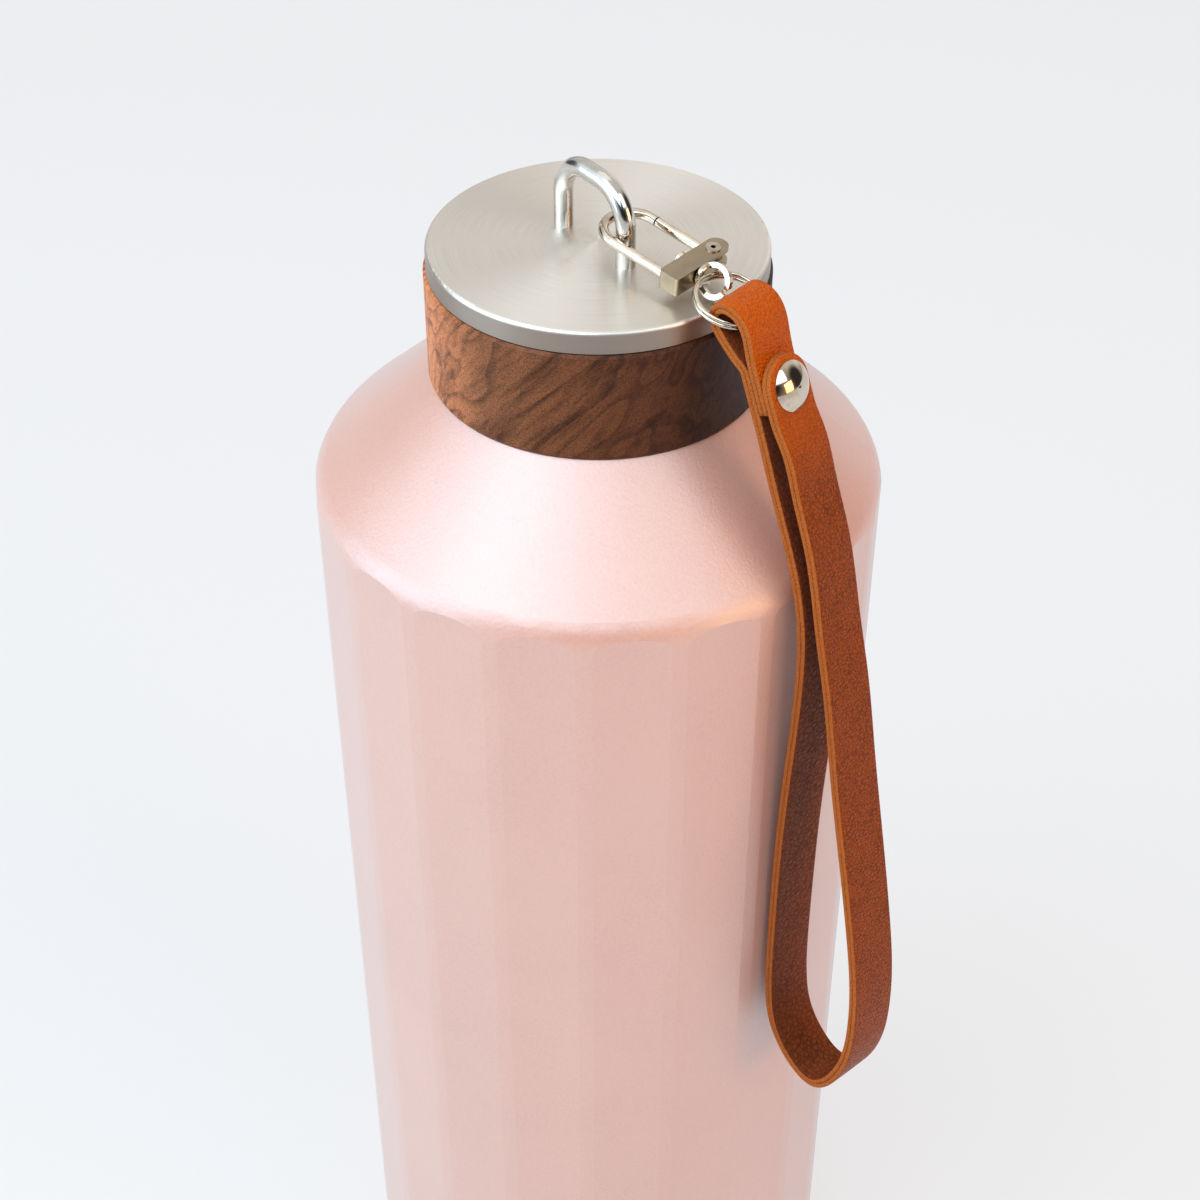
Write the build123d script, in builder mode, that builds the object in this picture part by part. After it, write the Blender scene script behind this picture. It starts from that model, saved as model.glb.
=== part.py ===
from build123d import *
import math
import os

# Insulated steel bottle with a screw lid, a carry loop and a leather wrist strap.
# Millimetres. +Z is up, the origin is the middle of the standing face,
# and -Y is the side that faces the viewer.

os.makedirs("parts", exist_ok=True)

# Overall sizes
overall_height = 292.0
lid_height = 25.8
body_radius = 54.5
facet_count = 20
facet_depth = 0.46
facet_turn = -92.45
shell_wall = 0.8
shoulder_drop = 21.7
shoulder_fillet = 7.3
overrun = 1.0
seat_gap = 0.3

# Base
pad_gap = 2.24
foot_height = 0.8
base_recess = 1.2
base_wall = 0.8
base_ring_width = 7.0

# Neck, mouth and thread
neck_inset = 6.4
neck_wall = 0.8
vessel_wall = 0.6
lip_drop = 11.3
lip_thickness = 0.8
thread_pitch = 4.0
thread_turns = 1.5
thread_height = 1.3
thread_root = 2.0
thread_crest = 0.9
thread_bite = 0.3
thread_first_drop = 20.0
vacuum_gap = 3.2
vessel_floor = 14.0
vessel_floor_fillet = 12.0
vessel_shoulder_fillet = 8.0
neck_clearance = 0.1
getter_radius = 7.0
getter_height = 4.0
getter_fillet_share = 0.25

# Lid
disc_radius = 31.0
disc_wall = 1.0
disc_height = 4.2
disc_edge_fillet = 0.7
wood_overhang = 0.5
wood_wall = 3.5
wood_gap = 0.25
wood_top_chamfer = 0.5
wood_foot_fillet = 0.7
liner_clearance = 0.1
liner_wall = 1.6
liner_recess_inset = 0.6
liner_recess_depth = 6.0
liner_floor = 2.0
liner_skirt_gap = 0.5
liner_foot_gap = 0.5
foam_thickness = 2.6
foam_clearance = 0.3
gasket_inner_inset = 4.6
gasket_overlap = 0.4

# Carry loop
rod_diameter = 3.6
loop_width = 18.2
loop_height = 13.9
loop_corner = 7.0
loop_turn = -52.6
loop_centre_x = -0.64
loop_centre_y = -1.4
stud_diameter = 3.0
stud_length = 4.2
stud_clearance = 0.05
washer_diameter = 7.0
washer_thickness = 0.6
nut_across_flats = 5.5
nut_height = 2.2

# Snap hook, placed from the loop's front foot; in its own plane s runs outward, t across, n up
hook_shift_x = 1.163
hook_shift_y = 1.889
hook_rise = 5.85
hook_turn = -43.0
hook_slope = 7.2
hook_roll = 2.7
wire_diameter = 1.9
hook_width = 10.1
hook_tip = 1.2
block_start = 12.1
block_depth = 4.2
block_thickness = 3.5
block_near = 6.5
block_corner = 0.5
block_far_share = 0.25
socket_depth = 2.6
pin_s = 14.3
pin_t = 4.9
pin_diameter = 1.7
pin_bore = 0.9
pin_flange = 2.7
pin_flange_height = 0.25
pin_clearance = 0.05
fork_start = 1.6
fork_gap = 2.1
gate_gap = 0.3
gate_eye = 3.6
gate_eye_height = 1.0
gate_wall = 0.35
spring_wire = 0.24
spring_pitch = 0.27
spring_turns = 2.0
spring_clearance = 0.1

# Swivel
swivel_t = 0.0
post_diameter = 2.0
post_head = 3.4
post_head_height = 0.7
swivel_clearance = 0.05
bulb_diameter = 4.6
bulb_length = 1.2
bulb_fillet_share = 0.35
eye_s = 19.3
eye_diameter = 6.5
eye_hole = 4.6
eye_thickness = 1.0
eye_roll = 63.0

# Split ring, placed from the eye that holds it
ring_radius = 6.3
ring_wire = 0.8
ring_coil_gap = 0.05
ring_from_eye_out = 5.22
ring_from_eye_side = -1.68
ring_from_eye_rise = -0.831
ring_slope = 0.265
ring_ramp_degrees = 40.0

# Leather strap, placed from the split ring that carries it. The run's shares are of the way from
# the clamp to the body's side, of the loop's spread away from that side, and of the loop's drop.
strap_width = 10.4
strap_thickness = 2.0
ply_gap = 0.04
layer_gap = 0.06
strap_turn = 45.0
strap_edge_side = 5.5
clamp_lean = 22.0
clamp_from_ring = 10.1
clamp_drop = 12.4
strap_spread = 23.4
strap_drop = 158.8
clamp_below = 4.6
clamp_above = 4.2
tail_below = 3.2
tip_above = 5.6
outer_run_shares = [
    (0.16, 0.2667, 0.0428), (0.36, 0.3094, 0.0945), (0.61, 0.3543, 0.1612), (0.99, 0.3295, 0.2620),
    (1.00, 0.4444, 0.3407), (1.00, 0.5769, 0.4515), (1.00, 0.7308, 0.5668), (1.00, 0.8889, 0.6864),
    (1.00, 0.9872, 0.7859), (1.00, 1.0000, 0.8602), (1.00, 0.9017, 0.9427), (1.00, 0.6026, 1.0000),
]
inner_run_shares = [
    (1.00, 0.2436, 0.9641), (1.00, 0.0940, 0.8955), (1.00, 0.0684, 0.7947), (1.00, 0.0726, 0.6814),
    (1.00, 0.0897, 0.5775), (1.00, 0.1368, 0.4484), (1.00, 0.1667, 0.3413), (0.97, 0.1466, 0.2563),
    (0.68, 0.1462, 0.1788), (0.40, 0.0855, 0.1058),
]
ring_fold_shares = [
    (1.0317, -1.0794), (0.6667, -0.7937), (0.3651, -0.5079), (0.1905, -0.2222), (0.1746, 0.0476),
    (0.3651, 0.2698), (0.6667, 0.3175), (1.0317, 0.1905), (1.2857, -0.1111), (1.4127, -0.4444),
    (1.5079, -0.7937),
]
twist_at_tip = 50.0
twist_low = 41.0
twist_low_share = 0.5365
straight_stations = 1
fold_stations = 36
long_stations = 84

# Strap rivet
rivet_cap_diameter = 8.8
rivet_cap_height = 1.9
rivet_cap_rim = 0.3
rivet_stem = 3.0
rivet_clearance = 0.05
rivet_back_diameter = 8.0
rivet_back_height = 0.6

# Places worked out from the sizes
lid_top = overall_height
facet_inradius = body_radius - facet_depth
shoulder_top_radius = disc_radius
neck_radius = disc_radius - neck_inset
wood_radius = disc_radius + wood_overhang
wood_bore = wood_radius - wood_wall
liner_recess_radius = neck_radius - liner_recess_inset
gasket_inner = neck_radius - gasket_inner_inset
gasket_outer = neck_radius + gasket_overlap
lip_z = lid_top - lip_drop
ledge_z = lid_top - lid_height - seat_gap
liner_radius = wood_bore - liner_clearance
liner_foot = lid_top - lid_height + liner_foot_gap
liner_bore = neck_radius + thread_height + liner_skirt_gap
wood_top = lid_top - disc_height - wood_gap
liner_top = lid_top - disc_wall
recess_floor = liner_top - liner_recess_depth
liner_underside = recess_floor - liner_floor
first_thread_z = lid_top - thread_first_drop
rod_radius = rod_diameter / 2
wire_radius = wire_diameter / 2
hook_half = hook_width / 2
block_end = block_start + block_depth
ply_thickness = strap_thickness / 2
layer_step = strap_thickness + layer_gap
stack_half = layer_step + ply_thickness
tip_radius = strap_width / 2


def turned(degrees):
    angle = math.radians(degrees)
    return Vector(math.cos(angle), math.sin(angle), 0)


up = Vector(0, 0, 1)

# Feet of the carry loop
loop_axis = turned(loop_turn)
loop_centre = Vector(loop_centre_x, loop_centre_y, lid_top)
loop_feet = [loop_centre - loop_axis * (loop_width / 2), loop_centre + loop_axis * (loop_width / 2)]

# Hook plane: x along the hook, y across it, z out of it
hook_level = turned(hook_turn)
hook_slope_angle = math.radians(hook_slope)
hook_along = hook_level * math.cos(hook_slope_angle) - up * math.sin(hook_slope_angle)
hook_side_level = turned(hook_turn + 90)
hook_up_level = hook_along.cross(hook_side_level)
hook_roll_angle = math.radians(hook_roll)
hook_side = hook_side_level * math.cos(hook_roll_angle) + hook_up_level * math.sin(hook_roll_angle)
hook_up = hook_along.cross(hook_side)
hook_origin = loop_feet[1] + Vector(hook_shift_x, hook_shift_y, hook_rise)


def hook_plane(height):
    return Plane(origin=hook_origin + hook_up * height, x_dir=hook_along, z_dir=hook_up)


def hook_point(s, t, n):
    return hook_origin + hook_along * s + hook_side * t + hook_up * n


def across_hook(s, t=swivel_t):
    return Plane(origin=hook_point(s, t, 0), x_dir=hook_side, z_dir=hook_along)


# Outer shell: a turned body cut flat on twenty sides
def faceted_body(inset):
    wall = body_radius - inset
    top_inset = inset * math.tan(math.radians(45) / 2)
    shoulder_z = ledge_z - inset
    top_radius = shoulder_top_radius - top_inset
    knee_z = shoulder_z - shoulder_drop - top_inset
    foot = foot_height if inset == 0 else foot_height + base_recess
    slope = Vector(top_radius - wall, shoulder_z - knee_z).normalized()
    blend = shoulder_fillet * math.tan(math.atan2(-slope.X, slope.Y) / 2)
    knee = Vector(wall, knee_z)
    with BuildPart() as body:
        with BuildSketch(Plane.XZ):
            with BuildLine():
                Polyline((0, foot), (wall, foot), (wall, knee_z - blend))
                Bezier((wall, knee_z - blend), knee, knee + slope * blend)
                Polyline(
                    knee + slope * blend, (top_radius, shoulder_z), (0, shoulder_z), (0, foot)
                )
            make_face()
        revolve(axis=Axis.Z)
        with BuildSketch():
            RegularPolygon(
                facet_inradius - inset, facet_count, major_radius=False,
                rotation=facet_turn,
            )
        extrude(amount=overall_height, mode=Mode.INTERSECT)
    return body


def thread_ridge(radius, lowest, outward):
    step = 1 if outward else -1
    with BuildPart() as ridge:
        with BuildLine() as path:
            Helix(thread_pitch, thread_pitch * thread_turns, radius, center=(0, 0, lowest))
        start = path.line @ 0
        with BuildSketch(Plane(origin=start, x_dir=(step, 0, 0), z_dir=path.line % 0)):
            with BuildLine():
                Polyline(
                    (-thread_bite, -thread_root / 2), (thread_height, -thread_crest / 2),
                    (thread_height, thread_crest / 2), (-thread_bite, thread_root / 2),
                    (-thread_bite, -thread_root / 2),
                )
            make_face()
        sweep(is_frenet=True)
    return ridge


neck_top = lip_z - lip_thickness
with BuildPart() as outer_shell:
    add(faceted_body(0))
    with BuildSketch(Plane.XY.offset(ledge_z - shell_wall)):
        Circle(neck_radius)
    extrude(amount=neck_top - ledge_z + shell_wall)
    add(faceted_body(shell_wall), mode=Mode.SUBTRACT)
    with BuildSketch(Plane.XY):
        Circle(facet_inradius - shell_wall)
    extrude(amount=foot_height + base_recess + overrun, mode=Mode.SUBTRACT)
    with BuildSketch(Plane.XY.offset(ledge_z - shoulder_drop)):
        Circle(neck_radius - neck_wall)
    extrude(amount=overall_height, mode=Mode.SUBTRACT)
    add(thread_ridge(neck_radius, first_thread_z, True))
outer_shell.part.label = "outer_shell"
export_step(outer_shell.part, "parts/outer_shell.step")

# Base cup: the pressed floor of the outer shell
cup_radius = facet_inradius - shell_wall
with BuildPart() as base_cup:
    with BuildSketch(Plane.XZ):
        with BuildLine():
            Polyline(
                (0, foot_height + base_recess),
                (cup_radius - base_ring_width, foot_height + base_recess),
                (cup_radius - base_ring_width, foot_height),
                (cup_radius, foot_height),
                (cup_radius, foot_height + base_recess + base_wall),
                (0, foot_height + base_recess + base_wall),
                (0, foot_height + base_recess),
            )
        make_face()
    revolve(axis=Axis.Z)
base_cup.part.label = "base_cup"
export_step(base_cup.part, "parts/base_cup.step")

# Base pad: the soft disc that the bottle stands on
pad_radius = cup_radius - base_ring_width - pad_gap
with BuildPart() as base_pad:
    with BuildSketch():
        Circle(pad_radius)
    extrude(amount=foot_height + base_recess)
base_pad.part.label = "base_pad"
export_step(base_pad.part, "parts/base_pad.step")

# Inner vessel: a turned liner hung from the lip of the neck
vessel_radius = body_radius - shell_wall - vacuum_gap
vessel_neck = neck_radius - neck_wall - neck_clearance
vessel_top_z = ledge_z - shell_wall - vacuum_gap


def vessel_form(inset):
    wall = vessel_radius - inset
    neck = vessel_neck - inset
    slope_share = shoulder_drop / (body_radius - shoulder_top_radius)
    knee_z = vessel_top_z - (wall - neck) * slope_share - inset
    floor_z = vessel_floor + inset
    top_z = lip_z - lip_thickness if inset == 0 else lip_z + overrun
    with BuildPart() as form:
        with BuildSketch(Plane.XZ):
            with BuildLine():
                Polyline(
                    (0, floor_z), (wall, floor_z), (wall, knee_z), (neck, vessel_top_z - inset),
                    (neck, top_z), (0, top_z), (0, floor_z),
                )
            make_face()
        revolve(axis=Axis.Z)
        rings = form.edges().filter_by(GeomType.CIRCLE)
        fillet(rings.group_by(Axis.Z)[0], vessel_floor_fillet - inset)
        rings = form.edges().filter_by(GeomType.CIRCLE)
        rings = rings.filter_by_position(Axis.Z, knee_z - overrun, knee_z + overrun)
        fillet(rings, vessel_shoulder_fillet)
    return form


with BuildPart() as inner_vessel:
    add(vessel_form(0))
    with BuildSketch(Plane.XY.offset(lip_z - lip_thickness)):
        Circle(neck_radius)
    extrude(amount=lip_thickness)
    add(vessel_form(vessel_wall), mode=Mode.SUBTRACT)
inner_vessel.part.label = "inner_vessel"
export_step(inner_vessel.part, "parts/inner_vessel.step")

# Getter capsule: sits under the vessel floor inside the vacuum
with BuildPart() as getter:
    with BuildSketch(Plane.XY.offset(vessel_floor - getter_height)):
        Circle(getter_radius)
    extrude(amount=getter_height)
    fillet(getter.edges().group_by(Axis.Z)[0], getter_height * getter_fillet_share)
getter.part.label = "getter"
export_step(getter.part, "parts/getter.step")

# Carry loop: one bent rod whose two thinner ends pass through the lid disc
loop_plane = Plane(origin=loop_centre, x_dir=loop_axis, z_dir=loop_axis.cross(up))
loop_half = loop_width / 2
corner_in = loop_half - loop_corner
corner_z = loop_height - loop_corner
with BuildPart() as carry_loop:
    with BuildLine(loop_plane) as loop_path:
        Line((-loop_half, 0), (-loop_half, corner_z))
        RadiusArc((-loop_half, corner_z), (-corner_in, loop_height), loop_corner)
        Line((-corner_in, loop_height), (corner_in, loop_height))
        RadiusArc((corner_in, loop_height), (loop_half, corner_z), loop_corner)
        Line((loop_half, corner_z), (loop_half, 0))
    with BuildSketch(Plane(origin=loop_feet[0], z_dir=up)):
        Circle(rod_radius)
    sweep()
    for foot in loop_feet:
        with BuildSketch(Plane(origin=foot, z_dir=up)):
            Circle(stud_diameter / 2)
        extrude(amount=-stud_length)
carry_loop.part.label = "carry_loop"
export_step(carry_loop.part, "parts/carry_loop.step")

# Lid disc: a pressed steel cap with a short rim
with BuildPart() as lid_disc:
    with BuildSketch(Plane.XY.offset(lid_top - disc_height)):
        Circle(disc_radius)
    extrude(amount=disc_height)
    fillet(lid_disc.edges().group_by(Axis.Z)[-1], disc_edge_fillet)
    with BuildSketch(Plane.XY.offset(lid_top - disc_height)):
        Circle(disc_radius - disc_wall)
    extrude(amount=disc_height - disc_wall, mode=Mode.SUBTRACT)
    for foot in loop_feet:
        with BuildSketch(Plane(origin=foot, z_dir=up)):
            Circle(stud_diameter / 2 + stud_clearance)
        extrude(amount=-disc_height, mode=Mode.SUBTRACT)
lid_disc.part.label = "lid_disc"
export_step(lid_disc.part, "parts/lid_disc.step")

# Washers and nuts: one of each on both ends of the loop, under the disc
washer_top = lid_top - disc_wall
with BuildPart() as loop_washers:
    for foot in loop_feet:
        with BuildSketch(Plane(origin=(foot.X, foot.Y, washer_top), z_dir=up)):
            Circle(washer_diameter / 2)
            Circle(stud_diameter / 2 + stud_clearance, mode=Mode.SUBTRACT)
        extrude(amount=-washer_thickness)
loop_washers.part.label = "loop_washers"
export_step(loop_washers.part, "parts/loop_washers.step")

with BuildPart() as loop_nuts:
    for foot in loop_feet:
        with BuildSketch(Plane(origin=(foot.X, foot.Y, washer_top - washer_thickness), z_dir=up)):
            RegularPolygon(nut_across_flats / 2, 6, major_radius=False)
            Circle(stud_diameter / 2 + stud_clearance, mode=Mode.SUBTRACT)
        extrude(amount=-nut_height)
loop_nuts.part.label = "loop_nuts"
export_step(loop_nuts.part, "parts/loop_nuts.step")

# Wood ring: the grip around the lid
wood_foot = lid_top - lid_height
with BuildPart() as wood_ring:
    with BuildSketch(Plane.XY.offset(wood_foot)):
        Circle(wood_radius)
        Circle(wood_bore, mode=Mode.SUBTRACT)
    extrude(amount=wood_top - wood_foot)
    chamfer(wood_ring.edges().group_by(Axis.Z)[-1].sort_by(SortBy.RADIUS)[-1], wood_top_chamfer)
    fillet(wood_ring.edges().group_by(Axis.Z)[0].sort_by(SortBy.RADIUS)[-1], wood_foot_fillet)
wood_ring.part.label = "wood_ring"
export_step(wood_ring.part, "parts/wood_ring.step")

# Lid liner: the moulded cap that carries the thread
liner_flange_radius = disc_radius - disc_wall - liner_clearance
with BuildPart() as lid_liner:
    with BuildSketch(Plane.XZ):
        with BuildLine():
            Polyline(
                (0, liner_underside), (liner_bore, liner_underside), (liner_bore, liner_foot),
                (liner_radius, liner_foot), (liner_radius, wood_top),
                (liner_flange_radius, wood_top), (liner_flange_radius, liner_top),
                (liner_recess_radius, liner_top), (liner_recess_radius, recess_floor),
                (0, recess_floor), (0, liner_underside),
            )
        make_face()
    revolve(axis=Axis.Z)
    add(thread_ridge(liner_bore, first_thread_z - thread_pitch / 2, False))
lid_liner.part.label = "lid_liner"
export_step(lid_liner.part, "parts/lid_liner.step")

# Lid foam: an insulating disc in the liner's recess
with BuildPart() as lid_foam:
    with BuildSketch(Plane.XY.offset(recess_floor)):
        Circle(liner_recess_radius - foam_clearance)
    extrude(amount=foam_thickness - foam_clearance)
lid_foam.part.label = "lid_foam"
export_step(lid_foam.part, "parts/lid_foam.step")

# Lid gasket: seals on the lip of the neck
with BuildPart() as lid_gasket:
    with BuildSketch(Plane.XY.offset(lip_z + seat_gap)):
        Circle(gasket_outer)
        Circle(gasket_inner, mode=Mode.SUBTRACT)
    extrude(amount=liner_underside - lip_z - seat_gap * 2)
lid_gasket.part.label = "lid_gasket"
export_step(lid_gasket.part, "parts/lid_gasket.step")

# Hook wire: one round wire bent to a half circle
with BuildPart() as hook_wire:
    with BuildLine(hook_plane(0)) as wire_path:
        Line((block_start + socket_depth, -hook_half), (0, -hook_half))
        ThreePointArc((0, -hook_half), (-hook_half, 0), (0, hook_half))
        Line((0, hook_half), (hook_tip, hook_half))
    wire_start = hook_point(block_start + socket_depth, -hook_half, 0)
    with BuildSketch(Plane(origin=wire_start, x_dir=hook_side, z_dir=-hook_along)):
        Circle(wire_radius)
    sweep()
hook_wire.part.label = "hook_wire"
export_step(hook_wire.part, "parts/hook_wire.step")

# Hook block: the cross bar with the wire's socket, the swivel bore and the gate's fork
block_far_radius = block_depth / 2
block_middle = block_start + block_depth / 2
block_far = pin_t + block_depth * block_far_share
with BuildPart() as hook_block:
    with BuildSketch(hook_plane(-block_thickness / 2)):
        with BuildLine():
            Line((block_start, block_far), (block_start, -block_near))
            Line((block_start, -block_near), (block_end, -block_near))
            Line((block_end, -block_near), (block_end, block_far))
            ThreePointArc(
                (block_end, block_far), (block_middle, block_far + block_far_radius),
                (block_start, block_far),
            )
        make_face()
    extrude(amount=block_thickness)
    near_edges = hook_block.edges().filter_by(Axis((0, 0, 0), tuple(hook_up)))
    near_edges = near_edges.sort_by(Axis(tuple(hook_origin), tuple(hook_side)))[:2]
    fillet(near_edges, block_corner)
    with BuildSketch(across_hook(block_start, -hook_half)):
        Circle(wire_radius)
    extrude(amount=socket_depth, mode=Mode.SUBTRACT)
    with BuildSketch(across_hook(block_start - overrun)):
        Circle(post_diameter / 2 + swivel_clearance)
    extrude(amount=block_depth + overrun * 2, mode=Mode.SUBTRACT)
    with BuildSketch(hook_plane(-fork_gap / 2)):
        with Locations((block_middle, fork_start + block_far)):
            Rectangle(block_depth + overrun * 2, block_far * 2)
    extrude(amount=fork_gap, mode=Mode.SUBTRACT)
    with BuildSketch(hook_plane(-block_thickness)):
        with Locations((pin_s, pin_t)):
            Circle(pin_diameter / 2)
    extrude(amount=block_thickness * 2, mode=Mode.SUBTRACT)
hook_block.part.label = "hook_block"
export_step(hook_block.part, "parts/hook_block.step")

# Gate pin: a hollow rivet through the fork, with a rolled flange at each end
pin_reach = block_thickness / 2 + pin_flange_height
with BuildPart() as gate_pin:
    with BuildSketch(hook_plane(-pin_reach)):
        with Locations((pin_s, pin_t)):
            Circle(pin_diameter / 2)
    extrude(amount=pin_reach * 2)
    for low in (-pin_reach, block_thickness / 2):
        with BuildSketch(hook_plane(low)):
            with Locations((pin_s, pin_t)):
                Circle(pin_flange / 2)
        extrude(amount=pin_flange_height)
    with BuildSketch(hook_plane(-pin_reach)):
        with Locations((pin_s, pin_t)):
            Circle(pin_bore / 2)
    extrude(amount=pin_reach * 2, mode=Mode.SUBTRACT)
gate_pin.part.label = "gate_pin"
export_step(gate_pin.part, "parts/gate_pin.step")

# Gate: a hollow lever that closes the hook's mouth and turns on the pin
gate_start = hook_tip + gate_gap
gate_end = pin_s - gate_eye / 2 + gate_wall
gate_eye_low = -fork_gap / 2 + spring_clearance
with BuildPart() as gate_lever:
    with BuildSketch(across_hook(gate_start, hook_half)):
        Circle(wire_radius)
    extrude(amount=gate_end - gate_start)
    with BuildSketch(hook_plane(gate_eye_low)):
        with Locations((pin_s, pin_t)):
            Circle(gate_eye / 2)
    extrude(amount=gate_eye_height)
    with BuildSketch(across_hook(gate_start, hook_half)):
        Circle(wire_radius - gate_wall)
    extrude(amount=gate_end - gate_start - gate_eye / 2, mode=Mode.SUBTRACT)
    with BuildSketch(hook_plane(-block_thickness)):
        with Locations((pin_s, pin_t)):
            Circle(pin_diameter / 2 + pin_clearance)
    extrude(amount=block_thickness * 2, mode=Mode.SUBTRACT)
gate_lever.part.label = "gate_lever"
export_step(gate_lever.part, "parts/gate_lever.step")

# Gate spring: a small torsion coil round the pin, beside the gate's eye
spring_radius = pin_diameter / 2 + spring_clearance + spring_wire / 2
spring_low = gate_eye_low + gate_eye_height + spring_clearance + spring_wire / 2
spring_base = Plane(origin=hook_point(pin_s, pin_t, spring_low), x_dir=hook_along, z_dir=hook_up)
with BuildPart() as gate_spring:
    with BuildLine(spring_base) as coil:
        Helix(spring_pitch, spring_pitch * spring_turns, spring_radius)
    with BuildSketch(Plane(origin=coil.line @ 0, z_dir=coil.line % 0)):
        Circle(spring_wire / 2)
    sweep(is_frenet=True)
gate_spring.part.label = "gate_spring"
export_step(gate_spring.part, "parts/gate_spring.step")

# Swivel post and eye: the post turns in the block, the eye holds the split ring
eye_roll_angle = math.radians(eye_roll)
eye_face = hook_up * math.cos(eye_roll_angle) - hook_side * math.sin(eye_roll_angle)
bulb_start = block_end + swivel_clearance * 2
with BuildPart() as swivel_eye:
    with BuildSketch(across_hook(bulb_start)):
        Circle(bulb_diameter / 2)
    extrude(amount=bulb_length)
    fillet(swivel_eye.edges(), bulb_length * bulb_fillet_share)
    eye_plane = Plane(
        origin=hook_point(eye_s, swivel_t, 0) - eye_face * (eye_thickness / 2),
        x_dir=hook_along, z_dir=eye_face,
    )
    with BuildSketch(eye_plane):
        Circle(eye_diameter / 2)
    extrude(amount=eye_thickness)
    with BuildSketch(eye_plane):
        Circle(eye_hole / 2)
    extrude(amount=eye_thickness * 2, both=True, mode=Mode.SUBTRACT)
    with BuildSketch(across_hook(bulb_start)):
        Circle(eye_diameter)
    extrude(amount=-eye_diameter, mode=Mode.SUBTRACT)
swivel_eye.part.label = "swivel_eye"
export_step(swivel_eye.part, "parts/swivel_eye.step")

post_head_start = block_start - swivel_clearance * 2 - post_head_height
with BuildPart() as swivel_post:
    with BuildSketch(across_hook(post_head_start)):
        Circle(post_head / 2)
    extrude(amount=post_head_height)
    with BuildSketch(across_hook(post_head_start)):
        Circle(post_diameter / 2)
    extrude(amount=bulb_start - post_head_start)
swivel_post.part.label = "swivel_post"
export_step(swivel_post.part, "parts/swivel_post.step")

# Strap directions
strap_out = turned(strap_turn - 90)
strap_along = turned(strap_turn)

# Split ring: two turns of round wire that step over each other once
ring_lean = (strap_out - up * ring_slope).normalized()
ring_face = ring_lean.cross(strap_along)
eye_centre = hook_point(eye_s, swivel_t, 0)
ring_centre = eye_centre + strap_out * ring_from_eye_out + strap_along * ring_from_eye_side
ring_centre = ring_centre + up * ring_from_eye_rise
ring_step = ring_wire + ring_coil_gap
ring_half_step = ring_step / 2
ramp = ring_ramp_degrees
ring_stations = 72


def ring_point(degrees):
    # Rises by one wire in the middle of each turn's ramp, so that the turns lie on each other
    turn_share = degrees / 360
    base = -ring_half_step if turn_share <= 1 else ring_half_step
    rise = 0
    if abs(degrees - 360) < ramp:
        ramp_share = (degrees - 360 + ramp) / (2 * ramp)
        smooth = ramp_share * ramp_share * (3 - 2 * ramp_share)
        base = -ring_half_step
        rise = ring_step * smooth
    angle = math.radians(degrees + 90)
    flat = ring_lean * math.cos(angle) + strap_along * math.sin(angle)
    return ring_centre + flat * ring_radius + ring_face * (base + rise)


ring_first = ramp / 2
ring_last = 720 - ramp / 2
ring_points = [
    ring_point(ring_first + (ring_last - ring_first) * i / ring_stations)
    for i in range(ring_stations + 1)
]
with BuildPart() as split_ring:
    with BuildLine() as ring_path:
        Spline(*ring_points)
    with BuildSketch(Plane(origin=ring_path.line @ 0, z_dir=ring_path.line % 0)):
        Circle(ring_wire / 2)
    sweep(is_frenet=False)
split_ring.part.label = "split_ring"
export_step(split_ring.part, "parts/split_ring.step")

# Strap route: from the riveted tip down, round, up the bottle, over the ring to the tail
clamp_angle = math.radians(clamp_lean)
clamp_down = Vector(math.sin(clamp_angle), -math.cos(clamp_angle))
clamp_out = Vector(math.cos(clamp_angle), math.sin(clamp_angle))
clamp_inner = Vector(clamp_from_ring, -clamp_drop)
clamp_tail = clamp_inner + clamp_out * layer_step
clamp_tip = clamp_tail + clamp_out * layer_step
clamp_heading = strap_out * clamp_down.X + up * clamp_down.Y


def on_route(place):
    # Places are out from the ring's centre and up from it, along the strap's near edge
    out, height = tuple(place)[:2]
    return ring_centre - strap_along * strap_edge_side + strap_out * out + up * height


def run_place(shares):
    side_share, spread_share, drop_share = shares
    side_way = body_radius - ring_centre.dot(strap_out) - clamp_from_ring
    out = clamp_from_ring + side_way * side_share + strap_spread * spread_share
    return on_route((out, -clamp_drop - strap_drop * drop_share))


def fold_place(shares):
    out_share, height_share = shares
    return on_route((ring_radius * out_share, ring_radius * height_share))


tip_end = on_route(clamp_tip - clamp_down * tip_above)
tip_low = on_route(clamp_tip + clamp_down * clamp_below)
inner_low = on_route(clamp_inner + clamp_down * clamp_below)
inner_high = on_route(clamp_inner - clamp_down * clamp_above)
tail_high = on_route(clamp_tail - clamp_down * clamp_above)
tail_end = on_route(clamp_tail + clamp_down * tail_below)
long_run = [tip_low] + [run_place(shares) for shares in outer_run_shares + inner_run_shares]
long_run = long_run + [inner_low]
fold_run = [inner_high] + [fold_place(shares) for shares in ring_fold_shares] + [tail_high]
with BuildLine() as strap_route:
    Line(tip_end, tip_low)
    Spline(*long_run, tangents=(clamp_heading, -clamp_heading), tangent_scalars=(1, 1))
    Line(inner_low, inner_high)
    Spline(*fold_run, tangents=(-clamp_heading, clamp_heading), tangent_scalars=(1, 1))
    Line(tail_high, tail_end)
strap_stretches = list(zip(
    strap_route.edges(),
    (straight_stations, long_stations, straight_stations, fold_stations, straight_stations),
))


def strap_twist(point):
    # The strap's width direction turns a little between the clamp and the loop's foot
    drop = ring_centre.Z - clamp_drop - point.Z
    drop_share = min(1, max(0, drop / (strap_drop * twist_low_share)))
    smooth = drop_share * drop_share * (3 - 2 * drop_share)
    return twist_at_tip + (twist_low - twist_at_tip) * smooth


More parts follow.
